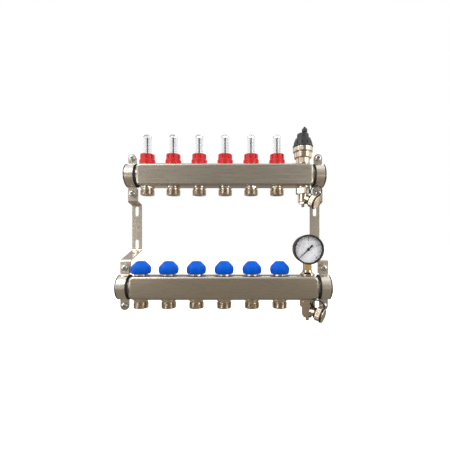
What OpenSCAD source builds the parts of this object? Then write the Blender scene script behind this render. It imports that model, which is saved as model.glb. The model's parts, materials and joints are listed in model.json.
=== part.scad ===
// Underfloor heating manifold for six circuits.
// A supply bar with flow meters and a return bar with hand valves hang on two wall brackets.
// X runs along the bars, Z is up, the wall is the plane Y = 0 and the front faces -Y.
// The origin is on the wall, at the middle port, midway between the two bars.

/* [Bars] */
// Distance between neighbouring ports
port_pitch = 50; // [46:1:55]
// Height between the two bar axes
bar_gap = 208; // [204:1:212]
// Distance from the wall to the axis of the supply bar
supply_y = 25; // [24:0.5:28]
// Distance from the wall to the axis of the return bar
return_y = 60; // [56:1:64]
// Depth of a bar, front to back
bar_d = 36; // [34:0.5:38]
// Height of a bar
bar_h = 42; // [41:0.5:44]
// Sheet thickness of a bar
wall = 1.5; // [1:0.1:2]
// From the last port to the end of the bar
end_margin = 19; // [18:0.5:22]
// Outside diameter of the round neck at each bar end
neck_d = 35.5; // [35:0.1:35.8]

/* [Outlets] */
// Thread diameter of a circuit outlet
outlet_thread_d = 26.44; // [26.2:0.01:26.6]
// How far an outlet stands out of its bar
outlet_h = 16.5; // [15:0.5:19]

/* [Flow meters] */
// Width of the dial's lower skirt
dial_d = 30.2; // [29:0.1:32]
// Width of the dial's upper ring
dial_top_d = 26.8; // [25:0.1:28]
// Height of the dial's top above the bar
dial_top_z = 19.6; // [19:0.1:22]
// Outside diameter of the sight glass
glass_d = 14.8; // [14:0.1:15]
// Height of the sight glass above the bar
glass_top_z = 58.6; // [56:0.1:62]

/* [Return caps] */
// Width of a return cap across its corners
cap_d = 36; // [35:0.1:38]
// Height of a return cap
cap_h = 22.5; // [22:0.1:25]
// Gap between an open cap and the bar
cap_lift = 3; // [2.9:0.1:3.2]

/* [Brackets and clamps] */
// Width of a bracket strip
strip_w = 19.5; // [18:0.5:21]
// Thickness of a bracket strip
strip_t = 2.5; // [2:0.1:3]
// Height between the two wall slots of a bracket
slot_gap = 66; // [60:1:70]
// Width of a wall slot
slot_w = 7; // [6:0.5:8]
// Length of a wall slot, end to end
slot_l = 19; // [15:0.5:22]
// Distance of a clamp bolt from the bar axis
bolt_r = 34; // [33:0.5:35]

/* [Service fittings] */
// Outside diameter of the pressure gauge
gauge_d = 53; // [52:0.5:55]
// Height of the gauge centre above the return bar
gauge_rise = 46.8; // [46.8:0.1:48]
// Turn of each drain outlet from the bar direction towards the front
drain_turn = 34; // [30:1:40]

/* [Hidden] */
circuits = 6;
$fn = 96;
play = 0.05;                 // gap between pieces that move or push together
push = 0.02;                 // gap between pieces that are screwed or pressed together
far = 200;                   // length that clears any piece it cuts

service = circuits + 1;      // the last port carries vent, gauge and drains
bar_half = port_x(service) + end_margin;
face_r = 12;                 // bar corner seen from the front
plan_r = 7;                  // bar corner seen from above
edge_r = 5;                  // long edges of the bar
neck_end = bar_half + 22;
thread_r = 15.15;            // bar end thread, at its crests
thread_depth = 16;
clamp_x = bar_half + 10;

supply_z = bar_gap / 2;
return_z = -bar_gap / 2;
seat_z = 7.8 - bar_h;        // outlet seat inside the bar, from the bar's top

plain_grip = play + wall;    // from a clamp's mid plane to its nut, then the same with a strip between
strip_grip = plain_grip + play + strip_t;
ear_y = strip_grip - strip_t / 2;
ear_reach = 24;              // half height of a strip's gap around the bar
web_y = -strip_t / 2;        // the web lies flat on the wall
web_top = supply_z - 53;
web_foot = return_z + 63.5;
slope_foot = return_z + 47.4;
slot_mid = 5;                // height midway between the wall slots
slope_hole = 0.38;           // where the hole sits along the slope
// Side view of a bracket: the strip's centre line from the supply ear down to the return ear
strip_line = [[ear_y - supply_y, supply_z - ear_reach], [ear_y - supply_y, web_top + 4], [web_y, web_top],
              [web_y, web_foot], [ear_y - return_y, slope_foot], [ear_y - return_y, return_z + ear_reach]];

small_hole = 9;              // hole radii in the bars, less the push gap
port_hole = 10;
meter_hole = 11;
flange_r = 13.5;
flange_h = 3;
seal_r = 0.85;               // O-ring section radius
groove_h = 1.75;

gauge_z = return_z + bar_h / 2 + gauge_rise;
gauge_r = gauge_d / 2;
case_r = gauge_r - 1.3;
dial_z = return_y + 6.5;     // gauge pieces count from the wall forwards
pinion_teeth = 8;
sector_teeth = 64;           // of the full circle
gear_module = 0.4;
pinion_r = pinion_teeth * gear_module / 2;
sector_r = sector_teeth * gear_module / 2;
sector_turn = -30;           // where the sector's pivot lies around the pointer shaft
mesh_turn = 180 + sector_turn;

vent_off = 3.3;              // the vent nozzle is off centre
pivot_x = -8;
pivot_z = 42.75;

drain_z = -20;               // outlet axis below the bar
drain_tilts = [25, 14];      // supply drain, return drain
strap_rolls = [0, -25];      // a strap loop leans towards the front when negative

cap_bore_r = 15.05;
cap_ceiling = cap_lift + 14.65;

coil_steps = 8;
coil_sides = 4;

// ---- Places ----

function port_x(i) = (i - (circuits + 2) / 2) * port_pitch;

module supply_at(x, z) translate([x, -supply_y, supply_z + z]) children();
module return_at(x, z) translate([x, -return_y, return_z + z]) children();
module supply_top(i) supply_at(port_x(i), bar_h / 2) children();
module supply_foot(i) supply_at(port_x(i), -bar_h / 2) children();
module return_top(i) return_at(port_x(i), bar_h / 2) children();
module return_foot(i) return_at(port_x(i), -bar_h / 2) children();

// Gauge frame: x right, y up, z forwards from the wall
module at_gauge() translate([port_x(service), 0, gauge_z]) rotate([90, 0, 0]) children();

// Drain outlet frame: z along the outlet, x up, origin on the valve's axis
module at_outlet(k) translate([0, 0, drain_z]) rotate([0, 0, -drain_turn])
    rotate([0, 90 + drain_tilts[k], 0]) mirror([1, 0, 0]) children();

// ---- Shapes used more than once ----

module rod(r, low, high) translate([0, 0, low]) cylinder(r = r, h = high - low);

module prism(sides, r, low, high) translate([0, 0, low]) rotate([0, 0, 180 / sides])
    cylinder(r = r, h = high - low, $fn = sides);

module tube(r_in, r_out, low, high) difference() {
    rod(r_out, low, high);
    rod(r_in, low - 1, high + 1);
}

module turned(outline) rotate_extrude() polygon(outline);

module block(low, high) translate(low) cube(high - low);

module rounded(w, h, r) {
    square([w - 2 * r, h], center = true);
    square([w, h - 2 * r], center = true);
    for (x = [-1, 1], y = [-1, 1]) translate([x * (w / 2 - r), y * (h / 2 - r)]) circle(r);
}

// O-ring that lies on the bar, and the groove that holds it under a flange
module seal(r) rotate_extrude() translate([r + 1.35, 0]) circle(seal_r, $fn = 32);
module seal_groove(r) tube(r + 0.4, r + 2.3, -groove_h, 1);
module seal_on_top(r) translate([0, 0, seal_r + push]) seal(r);
module groove_on_top(r) mirror([0, 0, 1]) seal_groove(r);

// Coil spring: a wire of coil_sides corners swept up a helix
module coil(mean_r, wire_r, low, high, turns) {
    steps = turns * coil_steps;
    rise = high - low - 2 * wire_r;
    wire = [for (i = [0:steps], k = [0:coil_sides - 1])
        let (a = 360 * i / coil_steps, b = 360 * k / coil_sides, r = mean_r + wire_r * cos(b))
        [r * cos(a), r * sin(a), low + wire_r + rise * i / steps + wire_r * sin(b)]];
    sides = [for (i = [0:steps - 1], k = [0:coil_sides - 1])
        let (a = i * coil_sides, b = a + coil_sides, next = (k + 1) % coil_sides)
        each [[a + k, a + next, b + next], [a + k, b + next, b + k]]];
    ends = [[for (k = [1:coil_sides]) coil_sides - k],
            [for (k = [0:coil_sides - 1]) steps * coil_sides + k]];
    polyhedron(wire, concat(sides, ends));
}

// ---- Bars ----

// The bar's outside, or its hollow when t is the wall
module bar_form(t) {
    l = 2 * (bar_half - t);
    d = bar_d - 2 * t;
    h = bar_h - 2 * t;
    intersection() {
        rotate([90, 0, 0]) linear_extrude(d, center = true) rounded(l, h, face_r - t);
        linear_extrude(h, center = true) rounded(l, d, plan_r - t);
        rotate([90, 0, 90]) linear_extrude(l, center = true) rounded(d, h, edge_r - t);
    }
}

// Bar on its own axis; top_r is the radius of the circuit holes in its top
module bar(top_r) difference() {
    union() {
        bar_form(0);
        rotate([0, 90, 0]) rod(neck_d / 2, -neck_end, neck_end);
    }
    bar_form(wall);
    rotate([0, 90, 0]) rod(14, -far, far);
    for (side = [0, 180]) rotate([0, 90, side]) {
        rod(thread_r, neck_end - thread_depth, neck_end - 0.8);
        translate([0, 0, neck_end - 0.8]) cylinder(r1 = thread_r, r2 = 16.4, h = 0.81);
    }
    for (i = [1:circuits]) translate([port_x(i), 0, 0]) rod(top_r + push, 0, bar_h);
    translate([port_x(service), 0, 0]) rod(port_hole + push, 0, bar_h);
    for (i = [1:service]) translate([port_x(i), 0, 0]) rod(port_hole + push, -bar_h, 0);
}

module supply_bar() color("silver") supply_at(0, 0) bar(meter_hole);
module return_bar() color("silver") return_at(0, 0) bar(small_hole);

// ---- Circuit outlets ----

// Outlet that points down from the bar's bottom; its top inside the bar is the valve seat
module nipple() difference() {
    thread = outlet_thread_d / 2;
    turned([[0, 7.8], [9.2, 7.8], [port_hole, 7], [port_hole, 0], [flange_r, 0],
            [flange_r, 0.6 - flange_h], [flange_r - 0.6, -flange_h], [11.5, -3.6], [11.5, -6],
            [thread - 0.8, -6], [thread, -6.8], [thread, 1 - outlet_h],
            [thread - 1, -outlet_h], [0, -outlet_h]]);
    turned([[0, 9], [7, 9], [7, -7], [9, -9], [9, 2 - outlet_h], [10.3, -outlet_h - 0.5],
            [0, -outlet_h - 0.5]]);
    seal_groove(port_hole);
}

module outlet_nipples() color("tan") for (i = [1:circuits]) {
    supply_foot(i) nipple();
    return_foot(i) nipple();
}

// ---- Flow meters on the supply bar ----

module flow_meter_body() difference() {
    turned([[0, seat_z + 0.2], [9, seat_z + 0.2], [9, -5], [meter_hole, -5], [meter_hole, 0],
            [13.9, 0], [13.9, 2.6], [9.5, 2.6], [9.5, 4], [9, 4], [9, 6], [9.5, 6], [9.5, 17],
            [0, 17]]);
    rod(7, -far, 5);
    rod(1, 0, 10);
    rod(glass_d / 2 + push, 7.4, 18);
    for (turn = [0, 90]) translate([0, 0, -15]) rotate([90, 0, turn]) rod(4.5, -12, 12);
    groove_on_top(meter_hole);
}

module sight_glass() {
    r = glass_d / 2;
    dome_h = 4;
    ball_r = (r * r + dome_h * dome_h) / (2 * dome_h);
    difference() {
        union() {
            rod(r, 7.45, glass_top_z - dome_h);
            intersection() {
                rod(r, glass_top_z - dome_h - 0.5, glass_top_z);
                translate([0, 0, glass_top_z - ball_r]) sphere(ball_r);
            }
        }
        rod(5, 0, glass_top_z - 3.6);
    }
}

// Red dial: a skirt round the flange and a slotted ring, snapped into the body's groove
module dial() {
    r = dial_d / 2;
    top_r = dial_top_d / 2;
    difference() {
        turned([[0, 1.2], [r, 1.2], [r, 8.4], [top_r, 9.9], [top_r, dial_top_z - 0.6],
                [top_r - 0.6, dial_top_z], [0, dial_top_z]]);
        turned([[0, 1], [14, 1], [14, 2.65], [9.55, 2.65], [9.55, 4.05], [9.05, 4.05],
                [9.05, 5.95], [9.55, 5.95], [9.55, 17.1], [glass_d / 2 + 0.1, 17.1],
                [glass_d / 2 + 0.1, 21], [0, 21]]);
        for (k = [0:9]) rotate([0, 0, 36 * k]) block([top_r - 1.3, -1.1, 10.6], [far, 1.1, far]);
    }
}

// Float: plate in the water stream, rod, and the disc that is read in the glass
module flow_float_part() {
    rod(6.2, -28, -26.5);
    rod(0.9, -27, 53);
    rod(4.6, glass_top_z - 6.6, glass_top_z - 5);
}

module flow_meter_bodies() color("gold") for (i = [1:circuits]) supply_top(i) flow_meter_body();
module sight_glasses() color("azure", 0.4) for (i = [1:circuits]) supply_top(i) sight_glass();
module float_springs() color("dimgray") for (i = [1:circuits]) supply_top(i)
    coil(2.6, 0.4, 7.45, glass_top_z - 6.65, 13);
module flow_dial(i) color("crimson") supply_top(i) dial();
module flow_float(i) color("black") supply_top(i) flow_float_part();

// ---- Hand valves on the return bar ----

module valve_insert() difference() {
    turned([[0, -14], [7.5, -14], [7.5, -6], [small_hole, -6], [small_hole, 0], [12, 0],
            [12, 3.4], [14.2, 3.4], [14.95, 4.2], [14.95, 11.2], [14.2, 12], [0, 12]]);
    rod(1.55, -20, 0);
    rod(5 + push, -12, 13);
    groove_on_top(small_hole);
}

module valve_gland() difference() {
    union() {
        rod(5, 6, 12.5);
        prism(6, 5.2, 12, 14.5);
    }
    rod(1.55, 5, 15);
}

// Pin with the valve disc at its foot and the collar that the spring lifts
module valve_pin_part() {
    rod(8, seat_z + 2.8, seat_z + 5.2);
    rod(1.5, seat_z + 4, cap_ceiling - play);
    rod(4.4, 2, 3.5);
}

// Eight-sided domed cap with the thread that runs down the insert
module return_cap_part() {
    r = cap_d / 2;
    top = cap_lift + cap_h;
    difference() {
        intersection() {
            prism(8, r + 0.5, cap_lift, top);
            turned([[0, cap_lift], [r - 1.6, cap_lift], [r, cap_lift + 3.5], [r, top - 10],
                    [r - 9.4, top - 0.6], [r - 10.4, top], [0, top]]);
        }
        rod(cap_bore_r, 0, 14.9);
        rod(7, 14, cap_ceiling);
    }
}

module valve_inserts() color("tan") for (i = [1:circuits]) return_top(i) valve_insert();
module valve_glands() color("gold") for (i = [1:circuits]) return_top(i) valve_gland();
module valve_springs() color("gray") for (i = [1:circuits]) return_top(i)
    coil(3.6, 0.5, -12 + push, 2 - push, 5);
module valve_pin(i) color("gray") return_top(i) valve_pin_part();
module return_cap(i) color("royalblue") return_top(i) return_cap_part();

// ---- Clamps and brackets ----

// Each of the four clamps: its x, and whether its bracket is above or below the bar
module each_clamp() for (side = [-1, 1]) {
    supply_at(side * clamp_x, 0) children();
    return_at(side * clamp_x, 0) mirror([0, 0, 1]) children();
}

// Front half when dir is -1, rear half when it is 1; the ears meet in the plane y = 0
module clamp_half(dir) mirror([0, dir < 0 ? 1 : 0, 0]) difference() {
    union() {
        intersection() {
            rotate([0, 90, 0]) tube(20.5, 22, -8, 8);
            block([-9, play, -30], [9, 30, 30]);
        }
        for (end = [0, 180]) rotate([0, end, 0]) translate([0, play + wall, 0]) rotate([90, 0, 0])
            linear_extrude(wall) {
                translate([-8, 20.8]) square([16, bolt_r - 20.8]);
                translate([0, bolt_r]) circle(8);
            }
    }
    for (end = [-1, 1]) translate([0, 0, end * bolt_r]) rotate([90, 0, 0]) rod(3.2, -9, 9);
}

module clamp_liner() rotate([0, 90, 0]) difference() {
    union() {
        rod(20.5 - play, -9.8, 9.8);
        for (x = [-9.8, 8.1]) rod(22.4, x, x + 1.7);
    }
    rod(neck_d / 2 + push, -20, 20);
}

// Pan head screw through both ears; grip is what it holds behind the joint plane
module clamp_bolt(grip) {
    front = -(play + wall);
    rotate([-90, 0, 0]) {
        turned([[0, front - 4], [3.6, front - 4], [5.6, front - 2.6], [6, front - 1],
                [6, front - push], [0, front - push]]);
        rod(3, front - 1, grip + 6.5);
    }
}

module clamp_nut(grip) rotate([-90, 0, 0]) difference() {
    prism(6, 5.77, grip + push, grip + push + 5);
    rod(3 + push, 0, 20);
}

module each_bolt() each_clamp() {
    translate([0, 0, bolt_r]) children(0);
    translate([0, 0, -bolt_r]) children(1);
}

module clamp_halves() color("silver") each_clamp() {
    clamp_half(-1);
    clamp_half(1);
}
module clamp_liners() color("black") each_clamp() clamp_liner();
module clamp_bolts() color("silver") each_bolt() {
    clamp_bolt(plain_grip);
    clamp_bolt(strip_grip);
}
module clamp_nuts() color("silver") each_bolt() {
    clamp_nut(plain_grip);
    clamp_nut(strip_grip);
}

// Unit normal of the strip's piece i, and its corner i pushed out by d along the mitre
function normal(i) = let (v = strip_line[i + 1] - strip_line[i]) [-v[1], v[0]] / norm(v);
function corner(i, d) =
    let (a = normal(max(i - 1, 0)), b = normal(min(i, len(strip_line) - 2)))
    strip_line[i] + (a + b) * d / (1 + a * b);

module wall_bracket() difference() {
    last = len(strip_line) - 1;
    rotate([90, 0, 90]) linear_extrude(strip_w, center = true)
        polygon(concat([for (i = [0:last]) corner(i, strip_t / 2)],
                       [for (i = [0:last]) corner(last - i, -strip_t / 2)]));
    for (end = [-1, 1]) translate([0, 0, slot_mid + end * slot_gap / 2]) rotate([90, 0, 0])
        linear_extrude(20, center = true) {
            square([slot_w, slot_l - slot_w], center = true);
            for (tip = [-1, 1]) translate([0, tip * (slot_l - slot_w) / 2]) circle(slot_w / 2);
        }
    translate(concat(0, strip_line[3] + (strip_line[4] - strip_line[3]) * slope_hole))
        rotate([-16, 0, 0]) rod(4.25, -8, 8);
    translate([0, ear_y - supply_y, supply_z - bolt_r]) rotate([90, 0, 0]) rod(3.2, -8, 8);
    translate([0, ear_y - return_y, return_z + bolt_r]) rotate([90, 0, 0]) rod(3.2, -8, 8);
}

module wall_brackets() color("silver") for (side = [-1, 1])
    translate([side * clamp_x, 0, 0]) wall_bracket();

// ---- Automatic air vent ----

module vent_body() color("tan") supply_top(service) difference() {
    union() {
        rod(port_hole, -6, 1);
        rod(flange_r, 0, flange_h);
        prism(8, 13.3, 0, 13);
        turned([[0, 12.6], [15.7, 12.6], [16.5, 13.4], [16.5, 24], [0, 24]]);
        intersection() {
            prism(8, 20, 23.8, 33.7);
            turned([[0, 23.8], [17.8, 23.8], [19, 25], [19, 32.5], [18.2, 33.7], [0, 33.7]]);
        }
    }
    rod(5, -10, 14);
    rod(12.5, 12.7, 40);
    rod(14 + push, 27, 40);
    groove_on_top(port_hole);
}

// Black cover: skirt inside the body, stepped dome, nozzle, and two lugs for the lever
module vent_cover() color("dimgray") supply_top(service) {
    difference() {
        union() {
            rod(14, 27.2, 34);
            turned([[0, 33.75], [19.4, 33.75], [19.4, 36], [18.6, 36.6], [17, 44], [14.6, 50.3],
                    [0, 50.3]]);
            rod(11, 50, 60);
            translate([vent_off, 0, 0]) rod(2.5, 59, 66);
        }
        rod(12.2, 20, 47);
        translate([vent_off, 0, 0]) rod(1, 40, 70);
        for (k = [0:11]) rotate([0, 0, 30 * k + 15]) block([16.2, -0.9, 37.5], [far, 0.9, 49]);
    }
    difference() {
        union() {
            translate([vent_off, 0, 0]) rod(2.2, 44.2, 47.5);
            for (y = [-4.8, 3.2]) block([pivot_x - 2, y, 40.5], [pivot_x + 2, y + 1.6, 47.5]);
        }
        translate([vent_off, 0, 0]) rod(1, 40, 70);
        translate([pivot_x, 0, pivot_z]) rotate([90, 0, 0]) rod(1 + play, -6, 6);
    }
}

module vent_float() color("white") supply_top(service) {
    rod(11.4, 18.9, 33);
    translate([6, 0, 0]) rod(0.6, 32, pivot_z - 0.8);
}

module vent_lever() color("gray") supply_top(service) {
    block([pivot_x - 1.3, -1.25, pivot_z - 0.75], [6.6, 1.25, pivot_z + 0.75]);
    translate([pivot_x, 0, pivot_z]) rotate([90, 0, 0]) {
        rod(1, -4.7, 4.7);
        rod(1.5, -3.1, 3.1);
    }
    translate([vent_off, 0, 0]) rod(1.7, pivot_z, 44.2 - play);
}

module vent_cap() color("dimgray") supply_top(service) translate([vent_off, 0, 0]) difference() {
    turned([[0, 60 + play], [4.2, 60 + play], [4.2, 61.2], [3.4, 62], [3.4, 62.8], [5.2, 63.6],
            [5.2, 69], [4, 70.6], [2.4, 71.2], [2, 73.8], [0, 73.8]]);
    rod(2.5 + play, 50, 66.1);
}

// ---- Pressure gauge ----

module gauge_adapter() color("tan") return_top(service) difference() {
    turned([[0, -6], [port_hole, -6], [port_hole, 0], [flange_r, 0], [flange_r, 2.4],
            [9.6, 5.6], [9, 6.2], [9, 9.6], [8.6, 10], [0, 10]]);
    rod(4, -far, 4);
    rod(6.5 + push, 2.5, 20);
    groove_on_top(port_hole);
}

// Brass socket: thread down into the adapter, square shank, and the block inside the case
module gauge_socket() color("gold") at_gauge() difference() {
    union() {
        block([-7, -36.8 + push, return_y - 7], [7, -24, return_y + 7]);
        block([-5, -25, return_y - 3.2], [5, -12, return_y + 1.7]);
        translate([0, 0, return_y]) rotate([90, 0, 0]) rod(6.5, 36, 44);
    }
    translate([0, 0, return_y]) rotate([90, 0, 0]) rod(2, 20, 60);
}

module gauge_case() color("dimgray") at_gauge() difference() {
    rod(case_r, return_y - 11, return_y + 11);
    rod(case_r - 1.2, return_y - 9.8, far);
    block([-7.1, -far, return_y - 7.1], [7.1, -22, return_y + 7.1]);
}

module gauge_bezel() color("black") at_gauge() difference() {
    turned([[0, return_y + 9], [gauge_r, return_y + 9], [gauge_r, return_y + 14.5],
            [gauge_r - 1.5, return_y + 16], [0, return_y + 16]]);
    rod(case_r + push, 0, return_y + 13.1);
    translate([0, 0, return_y + 13]) cylinder(r1 = gauge_r - 4.4, r2 = gauge_r - 3, h = 3.5);
}

module gauge_lens() color("azure", 0.4) at_gauge()
    rod(case_r, return_y + 11 + push, return_y + 13.1 - push);

module gauge_dial() color("white") at_gauge() tube(1.3, case_r - 1.3, dial_z, dial_z + 0.8);

// C-shaped spring tube, from the socket round to its closed tip
module bourdon_tube() color("gold") at_gauge() translate([0, 0, return_y - 0.75])
    rotate([0, 0, -74]) rotate_extrude(angle = 230) translate([20.2, 0]) rounded(1.6, 4.4, 0.7);

function sector_pivot() = (pinion_r + sector_r) * [cos(sector_turn), sin(sector_turn)];

// Trapezoid teeth from angle a to b round a wheel of pitch radius r
module teeth(r, count, a, b) for (k = [ceil(a * count / 360):floor(b * count / 360)])
    rotate(k * 360 / count) polygon([[r - 0.5, -0.24], [r - 0.1, -0.2], [r + 0.26, -0.1],
                                     [r + 0.26, 0.1], [r - 0.1, 0.2], [r - 0.5, 0.24]]);

// Two round plates on three pillars, held by the socket block between them
module gauge_movement() color("gold") at_gauge() {
    low = return_y - 3.2 - play;
    high = return_y + 1.7 + play;
    difference() {
        union() {
            rod(17.5, low - 1.2, low);
            rod(17.5, high, high + 1.2);
        }
        rod(0.9 + play, 0, far);
        translate(sector_pivot()) rod(1 + play, 0, far);
    }
    for (turn = [60, 120, 200]) rotate([0, 0, turn]) translate([15.5, 0, 0])
        rod(1.3, low - 1, high + 1);
}

module gauge_sector() color("gold") at_gauge() translate(sector_pivot()) {
    translate([0, 0, return_y - 2]) linear_extrude(1.6) {
        intersection() {
            circle(sector_r - 0.45);
            polygon([[0, 0], [cos(111), sin(111)] * 20, [cos(mesh_turn + 5), sin(mesh_turn + 5)] * 20]);
        }
        rotate(mesh_turn) teeth(sector_r, sector_teeth, -37, 3);
        circle(2);
        rotate(mesh_turn + 160) translate([0, -0.8]) square([3.4, 1.6]);
    }
    rod(1, return_y - 4.4, return_y + 2.8);
}

// Pointer at the dial's zero, with its shaft and pinion behind
module gauge_pointer() color("black") at_gauge() {
    rod(0.9, return_y - 4.4, dial_z + 3.5);
    rod(3.2, dial_z + 2.4, dial_z + 3.5);
    translate([0, 0, dial_z + 2.7]) linear_extrude(0.5) rotate(225)
        polygon([[-9, -1.3], [-9, 1.3], [0, 1], [18.5, 0.25], [18.5, -0.25], [0, -1]]);
    translate([0, 0, return_y - 2.4]) linear_extrude(2.4) {
        circle(pinion_r - 0.45);
        rotate(sector_turn + 180 / pinion_teeth) teeth(pinion_r, pinion_teeth, 0, 359);
    }
}

// ---- Drain valves ----

module drain_body(k) difference() {
    union() {
        rod(port_hole, -1, 6);
        rod(flange_r, -flange_h, 0);
        prism(6, 14.2, -14, 0);
        turned([[0, -30], [8.8, -30], [9.6, -29], [9.6, -13], [0, -13]]);
        prism(6, 8, -33, -29);
        at_outlet(k) {
            rod(7.6, 0, 18);
            turned([[0, 17.8], [9.7, 17.8], [10.48, 18.6], [10.48, 25.6], [9.7, 26.4], [0, 26.4]]);
        }
    }
    rod(5, -27 - play, 10);
    rod(3.2 + play, -40, -20);
    at_outlet(k) rod(4.5, 0, 30);
    seal_groove(port_hole);
}

// Spindle: head inside the valve, round stem, square end for the key
module drain_spindle() {
    rod(4.7, -27, -25.2);
    rod(3.2, -33.5, -26);
    block([-2.5, -2.5, -39], [2.5, 2.5, -33]);
}

// Screw cap with a groove for the strap's ring
module drain_cap() difference() {
    turned([[0, 17.4], [11.6, 17.4], [12.4, 18.2], [12.4, 26.8], [11.2, 26.8], [11.2, 29.2],
            [12.4, 29.2], [12.4, 30.2], [11.8, 30.8], [0, 30.8]]);
    rod(10.48 + play, 10, 26.8);
    for (turn = [0:15:345]) rotate([0, 0, turn]) block([12, -0.5, 10], [far, 0.5, 26.1]);
}

// Strap: a ring round the outlet's neck, a loop, and a ring in the cap's groove
module drain_strap(roll) {
    neck_ring = 15.9;
    cap_ring = 28;
    loop_r = 10.5;
    loop_start = 197;
    loop_end = 360 + 128;
    tube(7.6 + push, 9.8, neck_ring - 1.2, neck_ring + 1.2);
    tube(11.2 + play, 13.4, cap_ring - 0.9, cap_ring + 0.9);
    rotate([0, 0, roll]) translate([19.5, 0, 19.5]) rotate([90, 0, 0]) rotate([0, 0, loop_start])
        rotate_extrude(angle = loop_end - loop_start) translate([loop_r, 0])
            square([1.3, 2], center = true);
}

module supply_drain() supply_foot(service) children();
module return_drain() return_foot(service) children();

module drain_bodies() color("tan") {
    supply_drain() drain_body(0);
    return_drain() drain_body(1);
}
module drain_straps() color("black") {
    supply_drain() at_outlet(0) drain_strap(strap_rolls[0]);
    return_drain() at_outlet(1) drain_strap(strap_rolls[1]);
}
module drain_spindle_supply() color("tan") supply_drain() drain_spindle();
module drain_spindle_return() color("tan") return_drain() drain_spindle();
module drain_cap_supply() color("tan") supply_drain() at_outlet(0) drain_cap();
module drain_cap_return() color("tan") return_drain() at_outlet(1) drain_cap();

// ---- Seals ----

module o_rings() color("black") {
    for (i = [1:circuits]) {
        supply_top(i) seal_on_top(meter_hole);
        return_top(i) seal_on_top(small_hole);
    }
    supply_top(service) seal_on_top(port_hole);
    return_top(service) seal_on_top(port_hole);
    for (i = [1:service]) {
        supply_foot(i) mirror([0, 0, 1]) seal_on_top(port_hole);
        return_foot(i) mirror([0, 0, 1]) seal_on_top(port_hole);
    }
}

// ---- Output ----

supply_bar();
return_bar();
wall_brackets();
clamp_halves();
clamp_liners();
clamp_bolts();
clamp_nuts();
outlet_nipples();
o_rings();
flow_meter_bodies();
sight_glasses();
float_springs();
valve_inserts();
valve_glands();
valve_springs();
vent_body();
vent_cover();
vent_float();
vent_lever();
vent_cap();
gauge_adapter();
gauge_socket();
gauge_case();
gauge_bezel();
gauge_lens();
gauge_dial();
bourdon_tube();
gauge_movement();
gauge_sector();
gauge_pointer();
drain_bodies();
drain_straps();
drain_spindle_supply();
drain_spindle_return();
drain_cap_supply();
drain_cap_return();
for (i = [1:circuits]) {
    flow_dial(i);
    flow_float(i);
    valve_pin(i);
    return_cap(i);
}
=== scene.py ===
# Looks of the underfloor heating manifold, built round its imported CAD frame.
# Shapes are in millimetres until mesh_of(): X along the bars, Z up, the wall at Y = 0.
import json
import math

import bmesh
import bpy
import numpy as np
from mathutils import Matrix, Vector


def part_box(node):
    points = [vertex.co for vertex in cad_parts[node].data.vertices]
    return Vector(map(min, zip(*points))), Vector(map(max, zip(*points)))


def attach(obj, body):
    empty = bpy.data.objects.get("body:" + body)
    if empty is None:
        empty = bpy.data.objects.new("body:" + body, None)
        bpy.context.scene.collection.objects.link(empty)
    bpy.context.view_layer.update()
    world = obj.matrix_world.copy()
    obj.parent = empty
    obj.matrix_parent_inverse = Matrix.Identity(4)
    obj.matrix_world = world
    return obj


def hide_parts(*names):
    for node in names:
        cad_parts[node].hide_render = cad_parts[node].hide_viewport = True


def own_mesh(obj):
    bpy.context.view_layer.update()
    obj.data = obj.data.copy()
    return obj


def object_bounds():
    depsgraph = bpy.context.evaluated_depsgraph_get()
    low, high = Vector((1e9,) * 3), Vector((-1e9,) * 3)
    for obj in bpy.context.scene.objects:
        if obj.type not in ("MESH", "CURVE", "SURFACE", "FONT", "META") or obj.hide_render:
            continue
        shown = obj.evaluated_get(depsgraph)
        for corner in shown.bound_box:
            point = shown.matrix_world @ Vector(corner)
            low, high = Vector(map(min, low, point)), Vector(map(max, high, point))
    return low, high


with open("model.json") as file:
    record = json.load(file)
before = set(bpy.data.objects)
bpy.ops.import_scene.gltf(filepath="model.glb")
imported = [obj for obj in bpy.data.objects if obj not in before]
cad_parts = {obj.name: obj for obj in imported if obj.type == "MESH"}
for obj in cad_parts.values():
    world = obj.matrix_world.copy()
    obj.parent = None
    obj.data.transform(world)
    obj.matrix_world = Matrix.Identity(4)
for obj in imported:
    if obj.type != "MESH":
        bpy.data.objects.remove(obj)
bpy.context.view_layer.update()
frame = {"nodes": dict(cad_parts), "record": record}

MM = 0.001
TAU = 2 * math.pi
ALL = 1e9                    # a height no piece reaches


# ---- Places, from the frame ----

def span(node):
    """Lowest and highest corner of a CAD node, in millimetres."""
    low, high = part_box(node)
    return np.array(low) / MM, np.array(high) / MM


def middle(node):
    return sum(span(node)) / 2


CIRCUITS = range(1, 7)
PORTS = [middle(f"flow_dial_{i}")[0] for i in CIRCUITS]
SERVICE = middle("gauge_bezel")[0]
SUPPLY_Y, SUPPLY_Z = middle("supply_bar")[1:]
RETURN_Y, RETURN_Z = middle("return_bar")[1:]
BAR_D, BAR_H = (span("supply_bar")[1] - span("supply_bar")[0])[1:]
BAR_END = span("clamp_halves")[1][0] - 18     # from the middle to a bar's flat end
SEAT_Z = 7.8 - BAR_H         # outlet seat inside a bar, from the bar's top
TOP, FOOT = 1, -1


def at(x, y, z):
    return Matrix.Translation((x, y, z))


def turn(axis, degrees):
    return Matrix.Rotation(math.radians(degrees), 4, axis)


def bar_axis(bar_name):
    return at(0, SUPPLY_Y, SUPPLY_Z) if bar_name == "supply" else at(0, RETURN_Y, RETURN_Z)


def port(bar_name, x, side=TOP):
    """Place at x on the top or at the foot of a bar."""
    return bar_axis(bar_name) @ at(x, 0, side * BAR_H / 2)


# ---- Shells: (points in millimetres, faces) ----

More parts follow.
